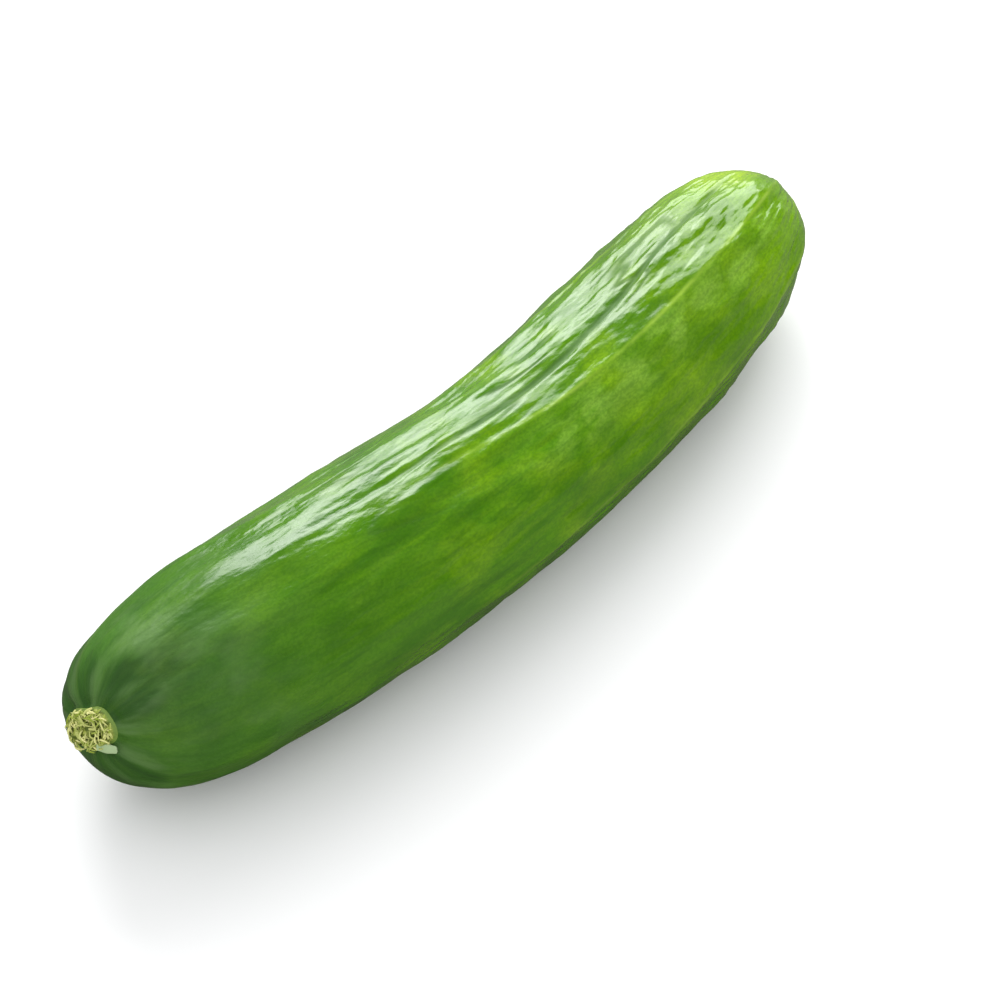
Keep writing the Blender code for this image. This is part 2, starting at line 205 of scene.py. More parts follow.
# Swells, puckers and the smooth belly
SWELL_STATIONS = (0.07, 0.22, 0.36, 0.50, 0.64, 0.80)
FAR_SWELLS = (-0.00060, 0.00041, 0.00058, -0.00028, 0.00034, 0.0)
NEAR_SWELLS = (0.00025, -0.00010, 0.0, 0.00030, 0.0, -0.00010)
FAR_SWELL_ANGLE = 28.0
NEAR_SWELL_ANGLE = 208.0
SWELL_LENGTH = 0.085  # share of the fruit's length
SWELL_WIDTH = 38.0
PUCKER_SEED = 11
PUCKER_DEPTH = 0.00016
PUCKER_LENGTH = 0.016
PUCKER_STRETCH = 2.2  # puckers are this much longer than they are wide
BELLY_ANGLE = 270.0
BELLY_WIDTH = 35.0
BELLY_SMOOTHING = 0.9
PALE_FLANK_ANGLE = 125.0
PALE_FLANK_REACH = 13.0
PALE_FLANK_GROWS = (0.42, 0.62)
PALE_FLANK_ENDS = (0.86, 0.95)

# The beds that the two scars lie in, off the fruit's axis
STALK_SCAR_OFFSET = 0.0062
STALK_SCAR_ANGLE = 121.0
STALK_SCAR_RADIUS = 0.0039
STALK_SCAR_STRETCH = 0.2  # share by which it is longer one way and narrower the other
STALK_SCAR_STRETCH_ANGLE = 131.0
FLOWER_SCAR_OFFSET = 0.0014
FLOWER_SCAR_ANGLE = 300.0
FLOWER_SCAR_RADIUS = 0.0050
SCAR_RIM_WAVES = ((0.06, 2, 1.0), (0.05, 5, 0.0))  # height, waves round the rim, and phase
SCAR_GROOVE_DEPTH = 0.00025
SCAR_GROOVE_WIDTH = 0.0008
SCAR_PIT = 0.0005
STALK_FOLDS = 7
STALK_FOLD_DEPTH = 0.00028
STALK_FOLD_START = 1.2  # times the scar's radius
STALK_FOLD_REACH = 0.0090
STALK_FOLD_SWAY = 1.5

# Fine relief of the skin
WAVE_SPREAD = (0.6, 1.4)  # range of the lengths in uneven ground, as shares of the one asked for
COARSE_WAVES = 28
FINE_WAVES = 40
RIPPLE_WAVES = 48
WRINKLE_SEED = 13
WRINKLE_DEPTH = 0.000040
WRINKLE_LENGTH = 0.019
WRINKLE_STRETCH = 9.0
CREASE_SEED = 14
CREASE_DEPTH = 0.00014
CREASE_LENGTH = 0.026
CREASE_STRETCH = 7.0
CREASE_WIDTH = 0.36
CREASE_ANGLE = 78.0
CREASE_REACH = 38.0
CREASE_SHADE = 0.8  # how strongly a crease is painted in shade, and dulled, beside the furrow
CREASE_BREAK_SEED = 17
CREASE_BREAK_LENGTH = 0.03
CREASE_BREAK_STRETCH = 2.0
CREASE_BREAK = (-0.6, 0.6)
DIMPLE_SEED = 15
DIMPLE_DEPTH = 0.00002
DIMPLE_LENGTH = 0.0055
DIMPLE_STRETCH = 2.4
RIPPLE_SEED = 16
RIPPLE_DEPTH = 0.000026
RIPPLE_LENGTH = 0.0036
RIPPLE_STRETCH = 2.7
FINE_GROWS = (0.12, 0.45)
FINE_AT_STALK = 0.35
PLUMP_GROWS = (0.58, 0.82)
WRINKLES_LOST = 0.6
RIPPLES_GAINED = 0.8


def bluntness(x):
    return np.where(x < 0, STALK_BLUNTNESS, FLOWER_BLUNTNESS)


def hump(away):
    return np.exp(-(away**2))


def rise(value, start, end):
    f = np.clip((value - start) / (end - start), 0, 1)
    return f * f * (3 - 2 * f)


def degrees_between(a, b):
    return (a - b + 180) % 360 - 180


def full_radius(x):
    return HALF_WIDTH * (1 - TAPER * x - WAIST * hump((x - WAIST_STATION) / WAIST_REACH))


def end_share(x):
    return np.sqrt(np.maximum(0.0, 1 - np.abs(x) ** bluntness(x)))


def middle_line():
    x = np.linspace(-1, 1, MIDDLE_STEPS)
    heading = BEND / 2 * (x + BEND_SKEW * (x**2 - 1 / 3) + BEND_WAVE * np.sin(pi * x))
    step = HALF_LENGTH * (x[1] - x[0])

    def summed(rate):
        return np.concatenate([[0], np.cumsum((rate[1:] + rate[:-1]) / 2)]) * step

    along = summed(np.cos(heading))
    aside = summed(np.sin(heading))
    along -= (along[0] + along[-1]) / 2
    aside -= np.interp(0, along, aside)
    return x, along, aside, heading


MIDDLE = middle_line()


def bend(along, aside, up):
    """Carries points from beside a straight axis to beside the bent middle line."""
    stations, line_x, line_y, line_heading = MIDDLE
    x = np.clip(along / HALF_LENGTH, -1, 1)
    past_end = along - x * HALF_LENGTH
    heading = np.interp(x, stations, line_heading)
    px = np.interp(x, stations, line_x) + past_end * np.cos(heading) - aside * np.sin(heading)
    py = np.interp(x, stations, line_y) + past_end * np.sin(heading) + aside * np.cos(heading)
    return np.stack([px, py, full_radius(x) + up], -1)


def through_knots(values, share):
    """A smooth curve through values given at even steps of the length."""
    v = np.asarray(values, float)
    v = np.concatenate([[2 * v[0] - v[1]], v, [2 * v[-1] - v[-2]]])
    place = np.clip(share, 0, 1) * (len(values) - 1)
    i = np.minimum(place.astype(int), len(values) - 2)
    f = place - i
    a, b, c, d = v[i], v[i + 1], v[i + 2], v[i + 3]
    return b + f / 2 * ((c - a) + f * ((2 * a - 5 * b + 4 * c - d) + f * (3 * (b - c) + d - a)))


def uneven(place, length, seed, waves=COARSE_WAVES):
    """Smooth uneven ground with a spread of 1: cosines of seeded directions and phases, summed."""
    draw = np.random.default_rng(seed)
    total = np.zeros(place.shape[:-1])
    for _ in range(waves):
        direction = draw.normal(size=3)
        direction *= tau / length * draw.uniform(*WAVE_SPREAD) / np.linalg.norm(direction)
        total += np.cos(place @ direction + draw.uniform(0, tau))
    return total * sqrt(2 / waves)


def on_straight_fruit(x, angle, stretch):
    """Places on the fruit as if it were straight, its girth drawn out so that what is laid on it by length
    comes out that much longer than wide."""
    turn = np.radians(angle)
    around = HALF_WIDTH * stretch
    return np.stack(np.broadcast_arrays(x * HALF_LENGTH, around * np.cos(turn), around * np.sin(turn)), -1)


def crest(away, reach):
    rounding = RIB_ROUNDING * reach / RIB_REACH
    return np.exp(-(np.sqrt(away**2 + rounding**2) - rounding) / reach)


def ribs(share, angle):
    height = np.zeros(np.broadcast(share, angle).shape)
    for rib in RIBS:
        low = rib.get("low", RIB_LOW)
        strength = low + (1 - low) * rise(share, *rib.get("grows", RIB_GROWS))
        away = degrees_between(angle, through_knots(rib["angles"], share))
        height += rib["height"] * strength * crest(away, RIB_REACH)
    for rib in SHORT_RIBS:
        from_middle = share - rib["station"]
        away = degrees_between(angle, rib["angle"] + rib["turn"] * from_middle)
        height += rib["height"] * hump(from_middle / rib["reach"]) * crest(away, rib["width"])
    return height


def furrow(share, angle):
    """The groove beside the main rib, 1 in its floor."""
    away = degrees_between(angle, through_knots(FURROW_ANGLES, share))
    return rise(share, *FURROW_GROWS) * (1 - rise(share, *FURROW_ENDS)) * hump(away / FURROW_REACH)


def swells(share, angle):
    far_side = hump(degrees_between(angle, FAR_SWELL_ANGLE) / SWELL_WIDTH)
    near_side = hump(degrees_between(angle, NEAR_SWELL_ANGLE) / SWELL_WIDTH)
    height = 0.0
    for station, far, near in zip(SWELL_STATIONS, FAR_SWELLS, NEAR_SWELLS):
        height = height + hump((share - station) / SWELL_LENGTH) * (far * far_side + near * near_side)
    return height


def fine_strength(x):
    return FINE_AT_STALK + (1 - FINE_AT_STALK) * rise((x + 1) / 2, *FINE_GROWS)


def creases(x, angle):
    """Narrow lines drawn out along the fruit, 1 in the line and 0 beside it, which come and go."""
    lines = uneven(on_straight_fruit(x, angle, CREASE_STRETCH), CREASE_LENGTH, CREASE_SEED)
    breaks = on_straight_fruit(x, angle, CREASE_BREAK_STRETCH)
    there = rise(uneven(breaks, CREASE_BREAK_LENGTH, CREASE_BREAK_SEED), *CREASE_BREAK)
    on_top = hump(degrees_between(angle, CREASE_ANGLE) / CREASE_REACH)
    return fine_strength(x) * there * on_top * hump(lines / CREASE_WIDTH)


def fine_relief(x, angle):
    """Wrinkles drawn out along the fruit, creases between them and soft dimples, fainter by the stalk. The
    plump flower end has fewer wrinkles and more short ripples."""
    wrinkles = uneven(on_straight_fruit(x, angle, WRINKLE_STRETCH), WRINKLE_LENGTH, WRINKLE_SEED)
    dimples = uneven(on_straight_fruit(x, angle, DIMPLE_STRETCH), DIMPLE_LENGTH, DIMPLE_SEED, FINE_WAVES)
    ripples = uneven(on_straight_fruit(x, angle, RIPPLE_STRETCH), RIPPLE_LENGTH, RIPPLE_SEED, RIPPLE_WAVES)
    plump = rise((x + 1) / 2, *PLUMP_GROWS)
    height = WRINKLE_DEPTH * wrinkles * (1 - WRINKLES_LOST * plump) + DIMPLE_DEPTH * dimples
    height += RIPPLE_DEPTH * ripples * (1 + RIPPLES_GAINED * plump)
    return fine_strength(x) * height - CREASE_DEPTH * (1 - WRINKLES_LOST * plump) * creases(x, angle)


def skin_relief(x, angle):
    share = (x + 1) / 2
    body = rise(end_share(x), *RELIEF_GROWS)
    height = ribs(share, angle) - FURROW_DEPTH * furrow(share, angle) + swells(share, angle)
    height += PUCKER_DEPTH * uneven(on_straight_fruit(x, angle, PUCKER_STRETCH), PUCKER_LENGTH, PUCKER_SEED)
    height += fine_relief(x, angle)
    belly = hump(degrees_between(angle, BELLY_ANGLE) / BELLY_WIDTH)
    return height * body * (1 - BELLY_SMOOTHING * belly)


def wavy_rim(radius, turn):
    waves = sum(height * np.sin(count * turn + phase) for height, count, phase in SCAR_RIM_WAVES)
    return radius * (1 + waves)


def stalk_rim(angle):
    """The edge of the stalk scar, which is longer one way than the other."""
    turn = np.radians(angle)
    longer = STALK_SCAR_STRETCH * np.cos(2 * (turn - radians(STALK_SCAR_STRETCH_ANGLE)))
    return wavy_rim(STALK_SCAR_RADIUS, turn) * (1 + longer)


def flower_rim(angle):
    return wavy_rim(FLOWER_SCAR_RADIUS, np.radians(angle))


def scar_bed(x, angle):
    """How far the skin sinks round each scar, and under the piece that fills it."""
    turn = np.radians(angle)
    reach = end_share(x) * HALF_WIDTH
    rim = np.where(x < 0, stalk_rim(angle), flower_rim(angle))
    groove = SCAR_GROOVE_DEPTH * hump((reach - rim - SCAR_GROOVE_WIDTH) / SCAR_GROOVE_WIDTH)
    start = rim * STALK_FOLD_START
    folded = np.where(x < 0, 1, 0) * rise(reach, rim, start) * (1 - rise(reach, start, STALK_FOLD_REACH))
    folds = STALK_FOLD_DEPTH * folded * np.sin(STALK_FOLDS * turn + STALK_FOLD_SWAY * np.sin(2 * turn))
    return folds + groove + SCAR_PIT * (1 - rise(reach, rim - SCAR_GROOVE_WIDTH, rim))


def surface(x, angle, height):
    """Points at a height over the smooth fruit. Near each tip the rings are slid across the end so that they
    close on the scar and not on the axis."""
    share = end_share(x)
    turn = np.radians(angle)
    stalk_end = x < 0
    offset = np.where(stalk_end, STALK_SCAR_OFFSET, FLOWER_SCAR_OFFSET) / HALF_WIDTH
    scar_turn = np.radians(np.where(stalk_end, STALK_SCAR_ANGLE, FLOWER_SCAR_ANGLE))
    slide = offset * (1 - share**2) ** 2
    aside = share * np.cos(turn) + slide * np.cos(scar_turn)
    up = share * np.sin(turn) + slide * np.sin(scar_turn)
    out = np.hypot(aside, up)
    power = bluntness(x)
    slid = np.sign(x) * np.maximum(0.0, 1 - out**2) ** (1 / power)
    station = np.where(np.abs(x) > SLID_FROM, slid, x)
    radius = full_radius(station)
    outward = 2 * out / radius
    endward = power * np.abs(station) ** (power - 1) * np.sign(station) / HALF_LENGTH
    length = np.hypot(outward, endward)
    outward, endward = outward / length, endward / length
    nearest = np.maximum(out, TIP_CLEARANCE)
    along = station * HALF_LENGTH + height * endward
    aside = aside * radius + height * outward * aside / nearest
    up = up * radius + height * outward * up / nearest
    return bend(along, aside, up) + GROWN_TO_FRAME


def ring_stations(count):
    x = -np.cos(np.linspace(0, pi, RUN_STEPS))
    radius = full_radius(x) * end_share(x)
    run = np.concatenate([[0], np.cumsum(np.hypot(np.diff(x) * HALF_LENGTH, np.diff(radius)))])
    u = np.linspace(0, 1, count)
    return np.interp(run[-1] * (u - END_CROWDING * np.sin(tau * u) / tau), run, x)


def tube_faces(rings, around):
    """Quads between closed rings of points, and a fan at each end round a single point."""
    faces = []
    for i in range(rings - 1):
        near, far = 1 + i * around, 1 + (i + 1) * around
        for j in range(around):
            k = (j + 1) % around
            faces.append((near + j, near + k, far + k, far + j))
    last = 1 + rings * around
    for j in range(around):
        k = (j + 1) % around
        faces.append((0, 1 + k, 1 + j))
        faces.append((last, last - around + j, last - around + k))
    return faces


def add_number(mesh, name, values):
    mesh.attributes.new(name, "FLOAT", "POINT").data.foreach_set("value", np.asarray(values, np.float32))


def add_place(mesh, name, values):
    places = mesh.attributes.new(name, "FLOAT_VECTOR", "POINT").data
    places.foreach_set("vector", np.asarray(values, np.float32).ravel())


def new_piece(name, points, faces):
    mesh = bpy.data.meshes.new(name)
    mesh.from_pydata(np.asarray(points).tolist(), [], faces)
    mesh.shade_smooth()
    piece = bpy.data.objects.new(name, mesh)
    bpy.context.scene.collection.objects.link(piece)
    return piece


def skin_mesh():
    x = ring_stations(SKIN_STATIONS)
    inner = x[1:-1]
    turn = np.arange(SKIN_AROUND) / SKIN_AROUND - 0.5
    angle = 90 + 360 * (turn - TOP_CROWDING * np.sin(tau * turn) / tau)
    xs, angles = np.meshgrid(inner, angle, indexing="ij")
    xs = np.concatenate([[x[0]], xs.ravel(), [x[-1]]])
    angles = np.concatenate([[0], angles.ravel(), [0]])
    points = surface(xs, angles, skin_relief(xs, angles) - scar_bed(xs, angles))
    points[:, 2] = np.maximum(points[:, 2], 0.0)
    piece = new_piece("skin", points, tube_faces(len(inner), SKIN_AROUND))
    share = (xs + 1) / 2
    add_place(piece.data, "laid_straight", on_straight_fruit(xs, angles, 1.0))
    add_number(piece.data, "share", share)
    # The line along each rib's crest: partly the rib's own pale and partly a painted highlight.
    line = np.zeros(len(xs))
    for rib in RIBS:
        away = degrees_between(angles, through_knots(rib["angles"], share))
        line = np.maximum(line, rib["pale"] * hump(away / RIB_LINE_WIDTH))
    add_number(piece.data, "rib_line", line * rise(share, *RIB_LINE_GROWS))
    flank = hump(degrees_between(angles, PALE_FLANK_ANGLE) / PALE_FLANK_REACH)
    flank = flank * rise(share, *PALE_FLANK_GROWS) * (1 - rise(share, *PALE_FLANK_ENDS))
    add_number(piece.data, "pale_flank", flank)
    # Where the furrow and the creases lie: their colour is painted in shade there and their shine dulled.
    sunk = np.maximum(furrow(share, angles), CREASE_SHADE * creases(xs, angles))
    add_number(piece.data, "crease_line", sunk)
    return piece


skin = skin_mesh()

# The skin itself: deep green where it hung from the stalk, paling through leaf green to yellow-green at the
# flower, with pale rib lines that are partly a painted highlight, pale mottling, a grey bloom on the stalk
# third that is partly a painted sheen, painted shade in the furrow and creases, and a wax that is dull on the
# stalk third and glassy beyond it.

SKIN_GREENS = (  # share of the length, and the green there
    (0.0, (0.026, 0.106, 0.006, 1.0)),
    (0.09, (0.055, 0.180, 0.008, 1.0)),
    (0.22, (0.074, 0.212, 0.007, 1.0)),
    (0.50, (0.080, 0.238, 0.001, 1.0)),
    (0.80, (0.100, 0.250, 0.0, 1.0)),
    (0.93, (0.165, 0.36, 0.0, 1.0)),
    (1.0, (0.38, 0.60, 0.01, 1.0)),
)
# Line on the rib crests: partly their own pale colour and partly a painted highlight.
RIB_PALE_AND_HIGHLIGHT = (0.36, 0.56, 0.06, 1.0)
MOTTLE_PALE = (0.23, 0.43, 0.004, 1.0)
FLANK_PALE = (0.30, 0.54, 0.06, 1.0)
# Grey of the wax bloom on the stalk third: partly a real bloom and partly a painted sheen.
BLOOM_AND_SHEEN_GREY = (0.20, 0.33, 0.12, 1.0)
# Painted shade in the furrow and the creases.
FURROW_PAINTED_SHADE = (0.03, 0.13, 0.003, 1.0)
SKIN_DARK = (0.028, 0.120, 0.003, 1.0)

# Patches: their length, how much longer than wide they are, and the span of cloud that shades into one
PATCH_DETAIL = 3.0
HUE_PATCHES = {"length": 0.02, "stretch": 1.5, "span": (0.35, 0.7)}
PALE_PATCHES = {"length": 0.012, "stretch": 1.4, "span": (0.42, 0.68)}
PALE_SPECKS = {"length": 0.0016, "stretch": 1.3, "span": (0.38, 0.62)}
PALE_STREAKS = {"length": 0.03, "stretch": 14.0, "span": (0.45, 0.75)}
FLANK_PATCHES = {"length": 0.007, "stretch": 1.5, "span": (0.38, 0.62)}
DARK_PATCHES = {"length": 0.013, "stretch": 2.2, "span": (0.45, 0.70)}
DARK_STREAKS = {"length": 0.016, "stretch": 8.0, "span": (0.48, 0.70)}
DARK_PORES = {"length": 0.0006, "stretch": 1.5, "span": (0.35, 0.65), "detail": 1.0}
BLOOM_AND_SHEEN_CLOUDS = {"length": 0.013, "stretch": 1.8, "span": (0.44, 0.72)}
RIB_BREAKS = {"length": 0.012, "stretch": 3.0, "span": (0.3, 0.6)}
WAX_PATCHES = {"length": 0.006, "stretch": 3.0, "span": (0.3, 0.7)}
GRAIN = {"length": 0.0014, "stretch": 2.0, "span": (0.2, 0.8), "detail": 2.0}
WAVELETS = {"length": 0.0034, "stretch": 2.6, "span": (0.2, 0.8), "detail": 2.0}

# Strengths that change along the fruit or over a mask: where the change starts and ends, then the strength
# before it and the strength after it
WHOLE = (0.0, 1.0)
STREAKS_BY_SHARE = (0.35, 0.7, 0.7, 0.15)
MOTTLE_BY_SHARE = (0.15, 0.65, 0.14, 0.75)
MOTTLE_BY_FLOWER = (0.65, 0.9, 1.0, 0.55)
DARK_BY_SHARE = (0.4, 0.9, 0.5, 0.25)
BLOOM_AND_SHEEN_BY_SHARE = (0.05, 0.25, 0.34, 0.0)
DULL_BY_SHARE = (0.04, 0.27, 0.46, 0.16)
COAT_BY_SHARE = (0.10, 0.32, 0.0, 0.35)
DULL_BY_CREASE = (0.1, 0.9, 0.0, 0.4)
COAT_BY_CREASE = (0.1, 0.8, 1.0, 0.0)
PALE_BY_SPECK = (*WHOLE, 0.8, 1.0)
FLANK_BY_PATCH = (*WHOLE, 0.08, 0.62)
RIB_LINE_BY_BREAK = (*WHOLE, 0.15, 0.75)
HUE_SHIFT = 0.12
PORE_STRENGTH = 0.28
FURROW_SHADE_STRENGTH = 0.55
WAX_DULLING = 0.08
SKIN_SHINE = 0.5
COAT_ROUGHNESS = 0.12
GRAIN_TO_WAVELETS = 0.3
BUMP_STRENGTH = 0.6
BUMP_DEPTH = 0.00012

MOTTLE_INPUTS = (("Patch Length", 0.01), ("Stretch", 2.0), ("Detail", 3.0), ("From", 0.4), ("To", 0.65))


def mottle_group():
    """Soft patches drawn out along the fruit: a cloud noise read where the skin would lie on a straight
    fruit, with its own length and stretch, and pushed apart into light and dark."""
    group = bpy.data.node_groups.new("mottle", "ShaderNodeTree")
    face = group.interface
    face.new_socket("Place", in_out="INPUT", socket_type="NodeSocketVector")
    for name, value in MOTTLE_INPUTS:
        face.new_socket(name, in_out="INPUT", socket_type="NodeSocketFloat").default_value = value
    face.new_socket("Mask", in_out="OUTPUT", socket_type="NodeSocketFloat")
    nodes, links = group.nodes, group.links
    given = nodes.new("NodeGroupInput")
    result = nodes.new("NodeGroupOutput")
    drawn_out = nodes.new("ShaderNodeCombineXYZ")
    for across in (1, 2):
        links.new(given.outputs["Stretch"], drawn_out.inputs[across])
    drawn_out.inputs[0].default_value = 1.0
    place = nodes.new("ShaderNodeVectorMath")
    place.operation = "MULTIPLY"
    links.new(given.outputs["Place"], place.inputs[0])
    links.new(drawn_out.outputs[0], place.inputs[1])
    per_metre = nodes.new("ShaderNodeMath")
    per_metre.operation = "DIVIDE"
    per_metre.inputs[0].default_value = 1.0
    links.new(given.outputs["Patch Length"], per_metre.inputs[1])
    cloud = nodes.new("ShaderNodeTexNoise")
    links.new(place.outputs[0], cloud.inputs["Vector"])
    links.new(per_metre.outputs[0], cloud.inputs["Scale"])
    links.new(given.outputs["Detail"], cloud.inputs["Detail"])
    spread = nodes.new("ShaderNodeMapRange")
    spread.interpolation_type = "SMOOTHSTEP"
    links.new(cloud.outputs["Fac"], spread.inputs["Value"])
    links.new(given.outputs["From"], spread.inputs["From Min"])
    links.new(given.outputs["To"], spread.inputs["From Max"])
    links.new(spread.outputs["Result"], result.inputs["Mask"])
    return group


MOTTLE = mottle_group()


def mottled(tree, place, patches):
    node = tree.nodes.new("ShaderNodeGroup")
    node.node_tree = MOTTLE
    node.inputs["Patch Length"].default_value = patches["length"]
    node.inputs["Stretch"].default_value = patches["stretch"]
    node.inputs["From"].default_value, node.inputs["To"].default_value = patches["span"]
    node.inputs["Detail"].default_value = patches.get("detail", PATCH_DETAIL)
    tree.links.new(place, node.inputs["Place"])
    return node.outputs["Mask"]


def attribute(tree, name, output="Fac"):
    node = tree.nodes.new("ShaderNodeAttribute")
    node.attribute_name = name
    return node.outputs[output]


def worked_out(tree, operation, first, second):
    """One Math node; either side may be a number or an output."""
    node = tree.nodes.new("ShaderNodeMath")
    node.operation = operation
    for socket, value in zip(node.inputs, (first, second)):
        if isinstance(value, (int, float)):
            socket.default_value = value
        else:
            tree.links.new(value, socket)
    return node.outputs[0]


def plus(tree, first, second):
    return worked_out(tree, "ADD", first, second)


def times(tree, first, second):
    return worked_out(tree, "MULTIPLY", first, second)


def larger(tree, first, second):
    return worked_out(tree, "MAXIMUM", first, second)


def between(tree, value, low, high, before=0.0, after=1.0):
    node = tree.nodes.new("ShaderNodeMapRange")
    node.interpolation_type = "SMOOTHSTEP"
    tree.links.new(value, node.inputs["Value"])
    for name, number in (("From Min", low), ("From Max", high), ("To Min", before), ("To Max", after)):
        node.inputs[name].default_value = number
    return node.outputs["Result"]


def green_by_share(tree, place, share):
    """The green of the length, shifted a little to and fro in soft patches."""
    ramp = tree.nodes.new("ShaderNodeValToRGB")
    ramp.color_ramp.interpolation = "EASE"
    first, last = ramp.color_ramp.elements
    first.color, last.color = SKIN_GREENS[0][1], SKIN_GREENS[-1][1]
    for position, green in SKIN_GREENS[1:-1]:
        ramp.color_ramp.elements.new(position).color = green
    patches = mottled(tree, place, HUE_PATCHES)
    shift = times(tree, plus(tree, patches, -0.5), HUE_SHIFT)
    tree.links.new(plus(tree, share, shift), ramp.inputs["Fac"])
    return ramp.outputs["Color"]


def pale_mottling(tree, place, share):
    patches = mottled(tree, place, PALE_PATCHES)
    specks = mottled(tree, place, PALE_SPECKS)
    flecked = times(tree, patches, between(tree, specks, *PALE_BY_SPECK))
    streaks = times(tree, mottled(tree, place, PALE_STREAKS), between(tree, share, *STREAKS_BY_SHARE))
    strength = between(tree, share, *MOTTLE_BY_SHARE)
    strength = times(tree, strength, between(tree, share, *MOTTLE_BY_FLOWER))
    return times(tree, larger(tree, flecked, streaks), strength)


def skin_colour(tree, place, share):
    colour = green_by_share(tree, place, share)
    colour = blended(tree, pale_mottling(tree, place, share), colour, MOTTLE_PALE)
    soft = between(tree, mottled(tree, place, FLANK_PATCHES), *FLANK_BY_PATCH)
    colour = blended(tree, times(tree, attribute(tree, "pale_flank"), soft), colour, FLANK_PALE)
    dark = larger(tree, mottled(tree, place, DARK_PATCHES), mottled(tree, place, DARK_STREAKS))
    dark = times(tree, dark, between(tree, share, *DARK_BY_SHARE))
    colour = blended(tree, dark, colour, SKIN_DARK)
    pores = times(tree, mottled(tree, place, DARK_PORES), PORE_STRENGTH)
    colour = blended(tree, pores, colour, SKIN_DARK)
    # A grey wax bloom on the stalk third, partly the wax's own grey and partly a painted sheen.
    bloom_and_sheen = times(tree, mottled(tree, place, BLOOM_AND_SHEEN_CLOUDS), between(tree, share, *BLOOM_AND_SHEEN_BY_SHARE))
    colour = blended(tree, bloom_and_sheen, colour, BLOOM_AND_SHEEN_GREY)
    # Painted shade in the furrow and the creases.
    sunk = times(tree, attribute(tree, "crease_line"), FURROW_SHADE_STRENGTH)
    colour = blended(tree, sunk, colour, FURROW_PAINTED_SHADE)
    # The rib lines, partly the ribs' own pale and partly a painted highlight, broken here and there.
    broken = between(tree, mottled(tree, place, RIB_BREAKS), *RIB_LINE_BY_BREAK)
    return blended(tree, times(tree, attribute(tree, "rib_line"), broken), colour, RIB_PALE_AND_HIGHLIGHT)


def skin_roughness(tree, place, share, crease):
    wax = times(tree, mottled(tree, place, WAX_PATCHES), WAX_DULLING)
    rough = plus(tree, between(tree, share, *DULL_BY_SHARE), wax)
    return plus(tree, rough, between(tree, crease, *DULL_BY_CREASE))


def skin_bump(tree, place):
    grain = times(tree, mottled(tree, place, GRAIN), GRAIN_TO_WAVELETS)
    bump = tree.nodes.new("ShaderNodeBump")
    bump.inputs["Strength"].default_value = BUMP_STRENGTH
    bump.inputs["Distance"].default_value = BUMP_DEPTH
    tree.links.new(plus(tree, grain, mottled(tree, place, WAVELETS)), bump.inputs["Height"])
    return bump.outputs["Normal"]


def skin_material():
    material = bpy.data.materials.new("waxy_skin")
    material.use_nodes = True
    tree = material.node_tree
    shader = tree.nodes["Principled BSDF"]
    place = attribute(tree, "laid_straight", "Vector")
    share = attribute(tree, "share")
    crease = attribute(tree, "crease_line")
    coat = times(tree, between(tree, share, *COAT_BY_SHARE), between(tree, crease, *COAT_BY_CREASE))
    tree.links.new(skin_colour(tree, place, share), shader.inputs["Base Color"])
    tree.links.new(skin_roughness(tree, place, share, crease), shader.inputs["Roughness"])
    tree.links.new(coat, shader.inputs["Coat Weight"])
    tree.links.new(skin_bump(tree, place), shader.inputs["Normal"])
    shader.inputs["Specular IOR Level"].default_value = SKIN_SHINE
    shader.inputs["Coat Roughness"].default_value = COAT_ROUGHNESS
    return material


def dress(piece, material):
    piece.data.materials.append(material)
    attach(piece, "root")
    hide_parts("cucumber")


dress(skin, skin_material())

# The scar of the stalk
# The stalk was pulled off and left a low stub of torn flesh, a little under a centimetre across and off the
# fruit's axis. Its face is rough, pale strands of the stalk's vessels lie over it every way, and one chip of
# the stalk still clings to its rim.

STALK_SCAR_RISE = 0.0005
STALK_LUMP_SEED = 12
STALK_LUMPS = 0.00022
STALK_LUMP_LENGTH = 0.0022
STALK_TOOTH_SEED = 18
STALK_TEETH = 0.00016
STALK_TOOTH_LENGTH = STALK_LUMP_LENGTH / 3
SCAR_EDGE = 0.0008  # width of the slope from a scar's face down to its rim
CAP_OVERLAP = 1.10  # a cap runs on under the skin to this many times the scar's radius
CAP_TUCK = 1.6 * SCAR_PIT
CAP_RINGS = 44
CAP_AROUND = 160
STRAND_SEED = 19
STRANDS = 130
GOLDEN_ANGLE = 137.5  # turn from each strand's start to the next, in degrees
STRAND_LENGTH = (0.0009, 0.0026)
STRAND_RADIUS = (0.00009, 0.00022)
STRAND_FLATNESS = 0.6
STRAND_CURL = 0.0004
STRAND_LIFT = (0.0, 0.0006)
STRAND_PILE = 0.0002
STRAND_ARCH = (0.5, 1.0)  # how much of an arch it makes before its end
STRAND_THICKEST = 0.4  # share of its length
STRAND_TAPER = 0.65
STRAND_TRIES = 12  # headings tried to keep it on the scar
STRAND_STEPS = 8
STRAND_SIDES = 8
CHIP_SIZE = (0.0008, 0.0018, 0.00030)  # half its width, length and thickness
CHIP_ANGLE = 190.0
CHIP_TURN = 40.0  # degrees that its length is turned from the line out of the scar's middle
CHIP_PLACE = 1.05  # distance from the scar's middle as a share of the way to its edge
CHIP_HEADING = 1.3  # the same, for the place that this line runs to
CHIP_SQUARENESS = 0.35
CHIP_ROWS = 14
CHIP_AROUND = 28
CHIP_WAVES_ROUND = (0.10, 3)  # height, and number
CHIP_WAVES_ALONG = (0.07, 5)
TORN_ROUGHNESS = 0.55
STRAND_ROUGHNESS = 0.5
CHIP_ROUGHNESS = 0.5
TORN_PATCHES = {"length": 0.0012, "stretch": 1.0, "span": (0.42, 0.62)}
TORN_RIM_FROM = (0.86, 0.96)  # shares of the way to the edge between which the torn face turns to rim
TORN_DARK = (0.10, 0.14, 0.006, 1.0)
TORN_PALE = (0.40, 0.46, 0.08, 1.0)
